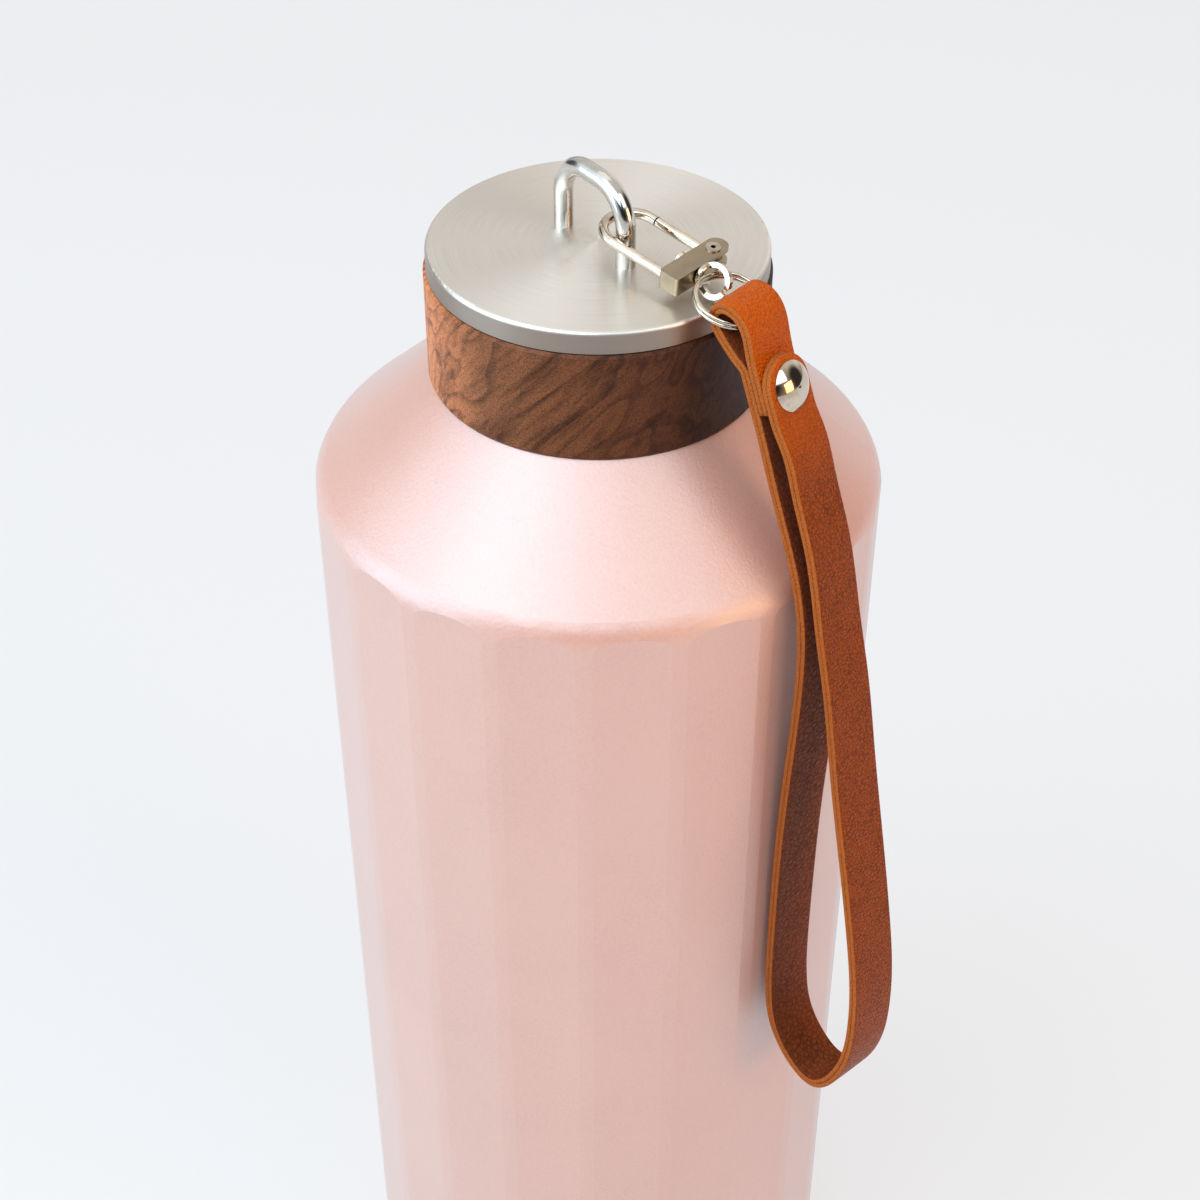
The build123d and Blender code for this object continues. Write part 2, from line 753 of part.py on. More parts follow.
def strap_section(edge, share):
    place = edge.position_at(share)
    heading = edge.tangent_at(share)
    side = turned(strap_twist(place))
    heading = (heading - side * heading.dot(side)).normalized()
    return Plane(origin=place, x_dir=side, z_dir=heading)


def strap_ply(low, high):
    with BuildPart() as ply:
        for edge, stations in strap_stretches:
            for i in range(stations + 1):
                with BuildSketch(strap_section(edge, i / stations)):
                    with Locations((strap_width / 2, (low + high) / 2)):
                        Rectangle(strap_width, high - low)
            loft()
    return ply


def clamp_plane(centre, offset):
    middle = on_route(centre)
    side = turned(twist_at_tip)
    heading = (clamp_heading - side * clamp_heading.dot(side)).normalized()
    outward = heading.cross(side)
    return Plane(
        origin=middle + side * (strap_width / 2) + outward * offset, x_dir=side, z_dir=outward
    )


def round_tip_and_pierce(ply):
    # Rounds the tip and makes the rivet's hole through all three layers
    reach = stack_half + overrun
    with BuildPart(mode=Mode.PRIVATE) as tools:
        with BuildSketch(clamp_plane(clamp_tip, -strap_thickness / 2 - layer_gap / 2)):
            with Locations((0, tip_above - tip_radius / 2 + overrun)):
                Rectangle(strap_width + overrun * 2, tip_radius + overrun * 2)
            with Locations((0, tip_above - tip_radius)):
                Circle(tip_radius, mode=Mode.SUBTRACT)
        extrude(amount=strap_thickness + layer_gap + overrun)
        with BuildSketch(clamp_plane(clamp_tail, -reach)):
            Circle(rivet_stem / 2 + rivet_clearance)
        extrude(amount=reach * 2)
    with BuildPart() as finished:
        add(ply)
        add(tools, mode=Mode.SUBTRACT)
    return finished


strap_outer_ply = round_tip_and_pierce(strap_ply(ply_gap / 2, ply_thickness))
strap_outer_ply.part.label = "strap_outer_ply"
export_step(strap_outer_ply.part, "parts/strap_outer_ply.step")

strap_inner_ply = round_tip_and_pierce(strap_ply(-ply_thickness, -ply_gap / 2))
strap_inner_ply.part.label = "strap_inner_ply"
export_step(strap_inner_ply.part, "parts/strap_inner_ply.step")

# Strap rivet: a domed cap in front, a stem through the three layers and a flat back
with BuildPart() as rivet_cap:
    cap_base = clamp_plane(clamp_tail, stack_half)
    with BuildSketch(cap_base):
        Circle(rivet_cap_diameter / 2)
    extrude(amount=rivet_cap_rim)
    dome_rise = rivet_cap_height - rivet_cap_rim
    dome_radius = (rivet_cap_diameter ** 2 / 4 + dome_rise ** 2) / (2 * dome_rise)
    with BuildSketch(Plane(origin=cap_base.origin, x_dir=cap_base.x_dir, z_dir=-cap_base.y_dir)):
        with BuildLine():
            Line((0, rivet_cap_rim), (rivet_cap_diameter / 2, rivet_cap_rim))
            RadiusArc((rivet_cap_diameter / 2, rivet_cap_rim), (0, rivet_cap_height), -dome_radius)
            Line((0, rivet_cap_height), (0, rivet_cap_rim))
        make_face()
    revolve(axis=Axis(tuple(cap_base.origin), tuple(cap_base.z_dir)))
rivet_cap.part.label = "rivet_cap"
export_step(rivet_cap.part, "parts/rivet_cap.step")

with BuildPart() as rivet_post:
    with BuildSketch(clamp_plane(clamp_tail, -stack_half - rivet_back_height)):
        Circle(rivet_back_diameter / 2)
    extrude(amount=rivet_back_height)
    with BuildSketch(clamp_plane(clamp_tail, -stack_half)):
        Circle(rivet_stem / 2)
    extrude(amount=stack_half * 2)
rivet_post.part.label = "rivet_post"
export_step(rivet_post.part, "parts/rivet_post.step")
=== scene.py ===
import bpy
import math
import numpy as np
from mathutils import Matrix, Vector


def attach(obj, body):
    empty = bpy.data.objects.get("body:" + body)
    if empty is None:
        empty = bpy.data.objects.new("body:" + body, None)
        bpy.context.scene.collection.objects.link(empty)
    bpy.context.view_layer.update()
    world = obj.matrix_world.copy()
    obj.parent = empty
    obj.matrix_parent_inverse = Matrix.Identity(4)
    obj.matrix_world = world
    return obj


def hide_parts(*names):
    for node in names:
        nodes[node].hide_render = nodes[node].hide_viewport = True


# An insulated steel bottle with a walnut-ringed lid, a carry loop and a leather wrist strap.
# Metres, in the model's own frame: +Z up, the photograph looks along +Y from above.

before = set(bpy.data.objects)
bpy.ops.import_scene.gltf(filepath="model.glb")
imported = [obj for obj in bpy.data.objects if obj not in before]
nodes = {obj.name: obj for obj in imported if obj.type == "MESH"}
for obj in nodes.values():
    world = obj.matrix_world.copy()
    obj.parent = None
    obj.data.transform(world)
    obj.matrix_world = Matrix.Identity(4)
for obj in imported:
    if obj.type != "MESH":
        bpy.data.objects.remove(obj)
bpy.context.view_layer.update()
scene = bpy.context.scene
mm = 0.001


# Colours, as linear values
PINK = (0.745, 0.35, 0.245, 1)
PINK_DEEP = (0.685, 0.30, 0.205, 1)
PEARL = (0.56, 0.86, 1.0, 1)
STEEL = (0.86, 0.81, 0.75, 1)
STEEL_DARK = (0.73, 0.68, 0.62, 1)
# Painted shade for the steel's upright faces, standing in for their darker reflection
STEEL_PAINTED_SIDE_SHADE = (0.35, 0.29, 0.25, 1)
NICKEL = (0.68, 0.59, 0.48, 1)
NICKEL_DARK = (0.50, 0.42, 0.32, 1)
BLOCK_NICKEL = (0.43, 0.345, 0.24, 1)
LOOP_STEEL = (0.68, 0.65, 0.61, 1)
WALNUT_LIGHT = (0.27, 0.104, 0.044, 1)
WALNUT_MID = (0.155, 0.057, 0.023, 1)
WALNUT_DARK = (0.050, 0.016, 0.007, 1)
# Painted light and shade for the wood ring: a lit tone on the left, through to a shaded tone on the right
WALNUT_PAINTED_LIGHT = (2.6, 2.4, 2.4, 1)
WALNUT_PAINTED_BRIGHT = (0.92, 0.88, 0.86, 1)
WALNUT_PAINTED_HALF = (0.52, 0.47, 0.43, 1)
WALNUT_PAINTED_SHADE = (0.14, 0.09, 0.06, 1)
RING_PALE = (0.95, 0.94, 0.93, 1)
RING_DARK = (0.52, 0.48, 0.46, 1)
PORE_DARK = (0.25, 0.22, 0.20, 1)
PORE_PALE = (1.7, 1.5, 1.2, 1)
LEATHER_GLOSS = (1.0, 0.60, 0.28, 1)
TAN = (0.33, 0.054, 0.001, 1)
TAN_DEEP = (0.17, 0.024, 0.001, 1)
# Painted highlight: the lighter tone of the strap's top over the ring, where light from above falls
TAN_PAINTED_TOP_LIGHT = (0.58, 0.092, 0.001, 1)
LINING = (0.21, 0.042, 0.012, 1)
LINING_DEEP = (0.12, 0.024, 0.008, 1)
RAW_EDGE = (0.52, 0.135, 0.028, 1)
RAW_EDGE_DEEP = (0.38, 0.085, 0.016, 1)
VESSEL_STEEL = (0.55, 0.55, 0.55, 1)
LINER_BLACK = (0.03, 0.03, 0.032, 1)
FOAM_WHITE = (0.75, 0.74, 0.70, 1)
SILICONE_CLEAR = (0.68, 0.68, 0.66, 1)
SILICONE_PINK = (0.55, 0.38, 0.35, 1)
FLOOR_WHITE = (0.22, 0.222, 0.226, 1)
FLOOR_GLOW = (0.61, 0.612, 0.622, 1)
STUDIO_LOW = (0.42, 0.42, 0.43, 1)
STUDIO_WALL = (0.92, 0.91, 0.89, 1)
STUDIO_HIGH = (0.90, 0.89, 0.87, 1)
STUDIO_CEILING = (0.95, 0.95, 0.94, 1)
STUDIO_SEEN = (0.96, 0.965, 0.98, 1)
WHITE = (1, 1, 1, 1)
BLACK = (0, 0, 0, 1)


# Camera, as solved from the photograph: degrees, and millimetres for the sensor and lens
sensor_width = 36.0
photo_lens = 66.09
camera_place = (0.549 * mm, -345.545 * mm, 490.912 * mm)
camera_pitch = 39.206
camera_yaw = -0.027
camera_data = bpy.data.cameras.new("photo_camera")
camera_data.lens = photo_lens
camera_data.sensor_width = sensor_width
camera_data.sensor_fit = "HORIZONTAL"
camera = bpy.data.objects.new("photo_camera", camera_data)
camera.location = camera_place
camera.rotation_euler = (math.radians(90 - camera_pitch), 0, math.radians(-camera_yaw))
scene.collection.objects.link(camera)
scene.camera = camera
scene.view_settings.view_transform = "Standard"


# Node helpers
class Board:
    """Places and wires the nodes of one material or group."""

    def __init__(self, tree):
        self.tree = tree

    def add(self, kind, **settings):
        node = self.tree.nodes.new(kind)
        for key, value in settings.items():
            setattr(node, key, value)
        return node

    def set(self, node, **values):
        for key, value in values.items():
            socket = node.inputs[key.replace("_", " ")]
            if isinstance(value, bpy.types.NodeSocket):
                self.tree.links.new(value, socket)
            else:
                socket.default_value = value
        return node

    def link(self, source, target):
        self.tree.links.new(source, target)

    def math(self, operation, a, b=0.0):
        node = self.add("ShaderNodeMath", operation=operation)
        for index, value in enumerate((a, b)):
            if isinstance(value, bpy.types.NodeSocket):
                self.link(value, node.inputs[index])
            else:
                node.inputs[index].default_value = value
        return node.outputs[0]

    def ramp(self, factor, stops):
        node = self.add("ShaderNodeValToRGB")
        elements = node.color_ramp.elements
        while len(elements) < len(stops):
            elements.new(0.5)
        for element, (place, colour) in zip(elements, stops):
            element.position = place
            element.color = colour
        self.link(factor, node.inputs["Fac"])
        return node.outputs["Color"]

    def spread(self, factor, low, high):
        node = self.add("ShaderNodeMapRange")
        return self.set(node, Value=factor, To_Min=low, To_Max=high).outputs["Result"]

    def axes(self, vector):
        node = self.add("ShaderNodeSeparateXYZ")
        self.link(vector, node.inputs[0])
        return node.outputs

    def blend(self, factor, a, b, kind="MIX"):
        node = self.add("ShaderNodeMix", data_type="RGBA", blend_type=kind)
        return self.set(node, Factor=factor, A=a, B=b).outputs["Result"]

    def share_between(self, value, low, high, interpolation="LINEAR"):
        node = self.add("ShaderNodeMapRange", interpolation_type=interpolation)
        return self.set(node, Value=value, From_Min=low, From_Max=high).outputs["Result"]

    def weigh(self, *parts):
        """Adds the values, each times its weight."""
        total = None
        for value, weight in parts:
            term = self.math("MULTIPLY", value, weight)
            total = term if total is None else self.math("ADD", total, term)
        return total

    def noise(self, vector, scale, detail=2.0, roughness=0.5, distortion=0.0):
        node = self.add("ShaderNodeTexNoise")
        self.set(node, Vector=vector, Scale=scale, Detail=detail, Roughness=roughness, Distortion=distortion)
        return node.outputs["Fac"]

    def bump(self, height, strength, distance):
        node = self.add("ShaderNodeBump")
        return self.set(node, Height=height, Strength=strength, Distance=distance).outputs["Normal"]


def new_group(name, inputs, outputs):
    tree = bpy.data.node_groups.new(name, "ShaderNodeTree")
    for label, value in inputs:
        socket = tree.interface.new_socket(name=label, in_out="INPUT", socket_type="NodeSocketFloat")
        socket.default_value = value
    for label, kind in outputs:
        tree.interface.new_socket(name=label, in_out="OUTPUT", socket_type=kind)
    board = Board(tree)
    return tree, board, board.add("NodeGroupInput"), board.add("NodeGroupOutput")


def material_board(name):
    material = bpy.data.materials.new(name)
    material.use_nodes = True
    board = Board(material.node_tree)
    shader = material.node_tree.nodes["Principled BSDF"]
    return material, board, shader


def place_group(board, tree, **values):
    return board.set(board.add("ShaderNodeGroup", node_tree=tree), **values)


def object_place(board):
    return board.add("ShaderNodeTexCoord").outputs["Object"]


# Fine grain: an even speckle for coats, foam, plastic and silicone
def make_fine_grain():
    tree, board, given, result = new_group(
        "fine_grain", [("Size", 0.0005)],
        [("Height", "NodeSocketFloat"), ("Mottle", "NodeSocketFloat")],
    )
    place = object_place(board)
    scale = board.math("DIVIDE", 1.0, given.outputs["Size"])
    speckle = board.noise(place, scale, detail=3.0, roughness=0.6)
    mottle = board.noise(place, board.math("MULTIPLY", scale, 0.02), detail=3.0)
    board.set(result, Height=speckle, Mottle=mottle)
    return tree


# Turned lines: brushing that runs round the bottle's axis
def make_turned_lines():
    tree, board, given, result = new_group(
        "turned_lines", [("Pitch", 0.00012), ("Arc", 1.6)], [("Lines", "NodeSocketFloat")],
    )
    axes = board.axes(object_place(board))
    flat = board.set(board.add("ShaderNodeCombineXYZ"), X=axes["X"], Y=axes["Y"])
    length = board.add("ShaderNodeVectorMath", operation="LENGTH")
    board.link(flat.outputs[0], length.inputs[0])
    radius = board.math("ADD", length.outputs["Value"], axes["Z"])
    turn = board.math("ARCTAN2", axes["Y"], axes["X"])
    lines = board.set(
        board.add("ShaderNodeCombineXYZ"),
        X=board.math("DIVIDE", radius, given.outputs["Pitch"]),
        Y=board.math("MULTIPLY", turn, given.outputs["Arc"]),
    )
    board.set(result, Lines=board.noise(lines.outputs[0], 1.0, detail=3.0, roughness=0.65))
    return tree


# Handling marks: soft smudges and hair scratches on polished metal
def make_handling_marks():
    tree, board, given, result = new_group(
        "handling_marks", [("Size", 0.004)],
        [("Smudge", "NodeSocketFloat"), ("Scratch", "NodeSocketFloat")],
    )
    place = object_place(board)
    scale = board.math("DIVIDE", 1.0, given.outputs["Size"])
    smudge = board.noise(place, scale, detail=4.0, roughness=0.6)
    scratch = board.noise(place, board.math("MULTIPLY", scale, 12.0), detail=2.0, distortion=1.5)
    board.set(result, Smudge=smudge, Scratch=scratch)
    return tree


# Leather pebble: small closed cells with soft creases between them
def make_leather_pebble():
    tree, board, given, result = new_group(
        "leather_pebble", [("Cell", 0.0006)],
        [("Height", "NodeSocketFloat"), ("Crease", "NodeSocketFloat"), ("Mottle", "NodeSocketFloat")],
    )
    place = object_place(board)
    scale = board.math("DIVIDE", 1.0, given.outputs["Cell"])
    cells = board.set(board.add("ShaderNodeTexVoronoi", feature="F1"), Vector=place, Scale=scale)
    creases = board.set(
        board.add("ShaderNodeTexVoronoi", feature="DISTANCE_TO_EDGE"),
        Vector=place, Scale=board.math("MULTIPLY", scale, 0.8),
    )
    crease = board.math("MULTIPLY", board.math("MINIMUM", creases.outputs["Distance"], 0.25), 4.0)
    fibre = board.noise(place, board.math("MULTIPLY", scale, 3.0), detail=3.0)
    rise = board.math("SUBTRACT", 1.0, cells.outputs["Distance"])
    mottle = board.noise(place, board.math("MULTIPLY", scale, 0.12), detail=4.0, roughness=0.65)
    board.set(result, Height=board.weigh((rise, 0.7), (fibre, 0.3)), Crease=crease, Mottle=mottle)
    return tree


def darker(colour, share):
    return tuple(channel * share for channel in colour[:3]) + (1,)


# Across the ring, where the wood's painted light on the left gives way to painted shade on the right; in
# height, where the leather takes its painted top light
painted_light_x, painted_shade_x = -0.030, 0.026
top_light_starts, top_light_full = 0.262, 0.292

fine_grain = make_fine_grain()
turned_lines = make_turned_lines()
handling_marks = make_handling_marks()
leather_pebble = make_leather_pebble()


# Materials
def make_powder_coat():
    material, board, shader = material_board("powder_coat_pink")
    grain = place_group(board, fine_grain, Size=0.0006)
    tone = board.weigh((grain.outputs["Mottle"], 0.4), (grain.outputs["Height"], 0.6))
    colour = board.ramp(tone, [(0.32, PINK_DEEP), (0.56, PINK)])
    rough = board.spread(grain.outputs["Mottle"], 0.38, 0.44)
    normal = board.bump(grain.outputs["Height"], 0.6, 0.00018)
    board.set(shader, Base_Color=colour, Roughness=rough, Normal=normal)
    board.set(shader, IOR=1.8, Specular_IOR_Level=1.0, Specular_Tint=PEARL)
    board.set(shader, Coat_Weight=1.0, Coat_Roughness=0.44, Coat_IOR=1.85)
    board.set(shader, Sheen_Weight=0.28, Sheen_Roughness=0.45, Sheen_Tint=PEARL)
    return material


def make_turned_steel(name, light, dark, side_shade, low, high, pitch):
    """Steel turned round the bottle's axis, with painted shade on upright faces: a darker colour that stands
    in for their darker reflection.
    """
    material, board, shader = material_board(name)
    lines = place_group(board, turned_lines, Pitch=pitch).outputs["Lines"]
    face = board.ramp(lines, [(0.25, dark), (0.70, light)])
    normal_axes = board.axes(board.add("ShaderNodeNewGeometry").outputs["Normal"])
    # Painted shade: faces that stand upright take the darker side colour
    level = board.ramp(normal_axes["Z"], [(0.05, BLACK), (0.6, WHITE)])
    colour = board.blend(level, side_shade, face)
    rough = board.spread(lines, high, low)
    normal = board.bump(lines, 0.06, 0.00003)
    board.set(shader, Base_Color=colour, Roughness=rough, Normal=normal, Metallic=1.0)
    tangent = board.add("ShaderNodeTangent", direction_type="RADIAL", axis="Z")
    board.set(shader, Tangent=tangent.outputs["Tangent"], Anisotropic=0.8, Anisotropic_Rotation=0.25)
    return material


def make_polished(name, light, dark, low, high):
    material, board, shader = material_board(name)
    marks = place_group(board, handling_marks, Size=0.004)
    colour = board.ramp(marks.outputs["Smudge"], [(0.35, dark), (0.55, light)])
    rough = board.spread(marks.outputs["Smudge"], high, low)
    normal = board.bump(marks.outputs["Scratch"], 0.04, 0.00002)
    board.set(shader, Base_Color=colour, Roughness=rough, Normal=normal, Metallic=1.0)
    return material


def make_walnut():
    """Walnut whose figure runs askew through the ring, with painted light on the ring's left side and painted
    shade towards its right.
    """
    material, board, shader = material_board("walnut_oiled")
    place = object_place(board)
    turn = board.add("ShaderNodeMapping", vector_type="POINT")
    board.set(turn, Vector=place, Rotation=[math.radians(angle) for angle in (6, 48, 18)])

    def grain_at(along, across, detail, roughness, distortion):
        stretch = board.add("ShaderNodeMapping", vector_type="POINT")
        board.set(stretch, Vector=turn.outputs[0], Scale=(along, across, across))
        return board.noise(stretch.outputs[0], 1.0, detail, roughness, distortion)

    bands = grain_at(20, 190, 2.0, 0.5, 0.35)
    streaks = grain_at(45, 850, 3.0, 0.6, 0.15)
    fibre = grain_at(800, 5200, 2.0, 0.6, 0.0)
    pores = grain_at(2400, 6200, 1.0, 0.5, 0.0)
    growth = grain_at(9, 120, 1.0, 0.4, 0.12)
    rings = board.math("FRACT", board.math("MULTIPLY", growth, 7.0))
    board_tone = board.ramp(
        board.weigh((bands, 0.50), (streaks, 0.37), (fibre, 0.13)),
        [(0.34, WALNUT_DARK), (0.43, WALNUT_MID), (0.52, WALNUT_LIGHT), (0.64, WALNUT_MID)],
    )
    ring_tone = board.ramp(rings, [(0.0, WHITE), (0.55, RING_PALE), (0.90, RING_DARK), (1.0, WHITE)])
    # Painted light and shade: the wood brightens to the left and darkens to the right across the ring, as the
    # key light fell
    painted_light_tone = board.ramp(
        board.share_between(board.axes(place)["X"], painted_light_x, painted_shade_x),
        [(0.0, WALNUT_PAINTED_LIGHT), (0.18, WALNUT_PAINTED_BRIGHT), (0.55, WALNUT_PAINTED_HALF), (1.0, WALNUT_PAINTED_SHADE)],
    )
    pore_tone = board.ramp(pores, [(0.32, PORE_DARK), (0.46, WHITE), (0.70, PORE_PALE)])
    colour = board.blend(0.9, board_tone, ring_tone, "MULTIPLY")
    colour = board.blend(1.0, colour, painted_light_tone, "MULTIPLY")
    colour = board.blend(0.65, colour, pore_tone, "MULTIPLY")
    height = board.math("ADD", fibre, board.math("MULTIPLY", pores, 1.2))
    rough = board.spread(fibre, 0.38, 0.52)
    normal = board.bump(height, 0.5, 0.00010)
    board.set(shader, Base_Color=colour, Roughness=rough, Normal=normal, Specular_IOR_Level=0.18)
    return material


def make_leather(name, light, deep, top_lit, cell, low, high, strength):
    """Pebbled leather with a painted highlight: its tone turns lighter high up, where the strap folds over
    the ring and light from above falls on it.
    """
    material, board, shader = material_board(name)
    pebble = place_group(board, leather_pebble, Cell=cell)
    tone = board.weigh((pebble.outputs["Mottle"], 0.45), (pebble.outputs["Crease"], 0.55))
    flat = board.ramp(tone, [(0.25, deep), (0.62, light)])
    # Painted top light: high up on the strap, the leather turns to this lighter tone
    painted_top_tone = board.ramp(tone, [(0.20, darker(top_lit, 0.84)), (0.62, top_lit)])
    top_light_share = board.share_between(board.axes(object_place(board))["Z"], top_light_starts, top_light_full, "SMOOTHSTEP")
    colour = board.blend(top_light_share, flat, painted_top_tone)
    rough = board.spread(pebble.outputs["Crease"], high, low)
    normal = board.bump(pebble.outputs["Height"], strength, 0.0006)
    board.set(shader, Base_Color=colour, Roughness=rough, Normal=normal)
    board.set(shader, Specular_IOR_Level=0.26, Specular_Tint=LEATHER_GLOSS)
    return material


def make_plain(name, light, deep, grain_size, low, high, strength, metallic=0.0):
    material, board, shader = material_board(name)
    grain = place_group(board, fine_grain, Size=grain_size)
    colour = board.ramp(grain.outputs["Mottle"], [(0.3, deep), (0.7, light)])
    rough = board.spread(grain.outputs["Mottle"], low, high)
    normal = board.bump(grain.outputs["Height"], strength, 0.00005)
    board.set(shader, Base_Color=colour, Roughness=rough, Normal=normal, Metallic=metallic)
    return material


powder_coat = make_powder_coat()
brushed_steel = make_turned_steel("brushed_steel_disc", STEEL, STEEL_DARK, STEEL_PAINTED_SIDE_SHADE, 0.33, 0.42, 0.00012)
vessel_steel = make_turned_steel(
    "satin_vessel_steel", VESSEL_STEEL, darker(VESSEL_STEEL, 0.8), darker(VESSEL_STEEL, 0.9),
    0.30, 0.42, 0.0004,
)
loop_steel = make_polished("polished_loop_steel", LOOP_STEEL, darker(LOOP_STEEL, 0.86), 0.10, 0.18)
nickel_plate = make_polished("nickel_plate", NICKEL, NICKEL_DARK, 0.06, 0.13)
block_nickel = make_polished("satin_nickel_block", BLOCK_NICKEL, darker(BLOCK_NICKEL, 0.85), 0.20, 0.30)
walnut = make_walnut()
leather_face = make_leather("tan_leather_face", TAN, TAN_DEEP, TAN_PAINTED_TOP_LIGHT, 0.0006, 0.38, 0.52, 1.0)
leather_lining = make_leather("brown_leather_lining", LINING, LINING_DEEP, LINING, 0.0009, 0.55, 0.7, 0.6)
raw_edge = make_leather("raw_leather_edge", RAW_EDGE, RAW_EDGE_DEEP, RAW_EDGE, 0.0003, 0.7, 0.85, 0.7)
liner_plastic = make_plain(
    "liner_polypropylene", LINER_BLACK, darker(LINER_BLACK, 0.8), 0.0004, 0.42, 0.5, 0.1
)
foam_white = make_plain("closed_cell_foam", FOAM_WHITE, darker(FOAM_WHITE, 0.9), 0.0012, 0.8, 0.9, 0.6)
seal_silicone = make_plain(
    "seal_silicone", SILICONE_CLEAR, darker(SILICONE_CLEAR, 0.92), 0.001, 0.35, 0.45, 0.1
)
base_silicone = make_plain("base_silicone", SILICONE_PINK, darker(SILICONE_PINK, 0.9), 0.0006, 0.6, 0.7, 0.2)
getter_alloy = make_plain("getter_alloy", VESSEL_STEEL, darker(VESSEL_STEEL, 0.7), 0.0008, 0.5, 0.6, 0.4, 1.0)

finishes = {
    "outer_shell": powder_coat, "base_cup": vessel_steel, "base_pad": base_silicone,
    "inner_vessel": vessel_steel, "getter": getter_alloy, "lid_gasket": seal_silicone,
    "lid_disc": brushed_steel, "wood_ring": walnut, "lid_liner": liner_plastic, "lid_foam": foam_white,
    "carry_loop": loop_steel, "loop_washers": vessel_steel, "loop_nuts": vessel_steel,
    "hook_wire": nickel_plate, "hook_block": block_nickel, "gate_pin": nickel_plate,
    "gate_spring": vessel_steel, "gate_lever": nickel_plate, "swivel_eye": nickel_plate,
    "swivel_post": nickel_plate, "split_ring": nickel_plate, "rivet_cap": nickel_plate,
    "rivet_post": nickel_plate, "strap_outer_ply": leather_face, "strap_inner_ply": leather_lining,
}
for name, finish in finishes.items():
    data = nodes[name].data
    if not data.materials:
        data.materials.append(finish)
    for index in range(len(data.materials)):
        data.materials[index] = finish


# Leather strap, in millimetres. The route's points are in the strap's own plane: the distance out from
# the bottle's axis, and the height over the lid's top
strap_width = 10.4
ply_thickness = 1.0
ply_gap = 0.04
lid_top = 292.0
strap_turn = 45.0
near_edge = -7.0
clamp_lean = math.radians(22.0)
clamp_place = np.array([43.5, -9.8])
layer_step = 2.06
clamp_below = 4.6
clamp_above = 4.2
tail_below = 3.2
tip_above = 5.6
twist_at_tip = 50.0
twist_low = 41.0
twist_low_height = -95.0
outer_run = [
    (51.5, -16.6), (54.7, -24.8), (58.5, -35.4), (62.1, -51.4), (64.9, -63.9), (68.0, -81.5),
    (71.6, -99.8), (75.3, -118.8), (77.6, -134.6), (77.9, -146.4), (75.6, -159.5), (68.6, -168.6),
]
inner_run = [
    (60.2, -162.9), (56.7, -152.0), (56.1, -136.0), (56.2, -118.0), (56.6, -101.5), (57.7, -81.0),
    (58.4, -64.0), (57.6, -50.5), (54.4, -38.2), (49.9, -26.6),
]
ring_fold = [
    (39.9, -4.2), (37.6, -2.4), (35.7, -0.6), (34.6, 1.2), (34.5, 2.9), (35.7, 4.3), (37.6, 4.6),
    (39.9, 3.8), (41.5, 1.9), (42.3, -0.2), (42.9, -2.4),
]


def smooth_run(points, first_heading, last_heading, spacing):
    """Points along the cubic curve through the given points, with unit headings at its ends."""
    places = np.array(points, float)
    steps = np.linalg.norm(np.diff(places, axis=0), axis=1)
    count = len(places)
    matrix = np.zeros((count, count))
    right = np.zeros((count, 2))
    matrix[0, 0] = matrix[-1, -1] = 1
    right[0], right[-1] = first_heading, last_heading
    for i in range(1, count - 1):
        before, after = steps[i - 1], steps[i]
        matrix[i, i - 1:i + 2] = after, 2 * (before + after), before
        right[i] = 3 * (
            after * (places[i] - places[i - 1]) / before + before * (places[i + 1] - places[i]) / after
        )
    slopes = np.linalg.solve(matrix, right)
    found = []
    for i in range(count - 1):
        pieces = max(2, int(math.ceil(steps[i] / spacing)))
        for k in range(pieces):
            t = k / pieces
            found.append(
                (2 * t ** 3 - 3 * t ** 2 + 1) * places[i] + (t ** 3 - 2 * t ** 2 + t) * steps[i] * slopes[i]
                + (3 * t ** 2 - 2 * t ** 3) * places[i + 1] + (t ** 3 - t ** 2) * steps[i] * slopes[i + 1]
            )
    found.append(places[-1])
    return found


def straight_run(start, end, spacing):
    pieces = max(2, int(math.ceil(np.linalg.norm(end - start) / spacing)))
    return [start + (end - start) * k / pieces for k in range(pieces + 1)]


down = np.array([math.sin(clamp_lean), -math.cos(clamp_lean)])
out = np.array([math.cos(clamp_lean), math.sin(clamp_lean)])
tail_place = clamp_place + out * layer_step
tip_place = tail_place + out * layer_step
tip_end = tip_place - down * tip_above
tip_low = tip_place + down * clamp_below
inner_low = clamp_place + down * clamp_below
inner_high = clamp_place - down * clamp_above
tail_high = tail_place - down * clamp_above
tail_end = tail_place + down * tail_below
tip_round = strap_width / 2
tip_stations = 14
least_half = 0.05
straight_spacing, loop_spacing, fold_spacing = 1.0, 1.6, 0.5
tip_points = [
    tip_end + down * tip_round * (1 - math.cos(math.pi / 2 * k / tip_stations)) for k in range(tip_stations)
]
route = (
    tip_points
    + straight_run(tip_end + down * tip_round, tip_low, straight_spacing)[:-1]
    + smooth_run([tip_low, *outer_run, *inner_run, inner_low], down, -down, loop_spacing)[:-1]
    + straight_run(inner_low, inner_high, straight_spacing)[:-1]
    + smooth_run([inner_high, *ring_fold, tail_high], -down, down, fold_spacing)[:-1]
    + straight_run(tail_high, tail_end, straight_spacing)
)


def turned(degrees):
    return np.array([math.cos(math.radians(degrees)), math.sin(math.radians(degrees)), 0])


strap_out = turned(strap_turn - 90)
strap_along = turned(strap_turn)
above = np.array([0, 0, 1.0])


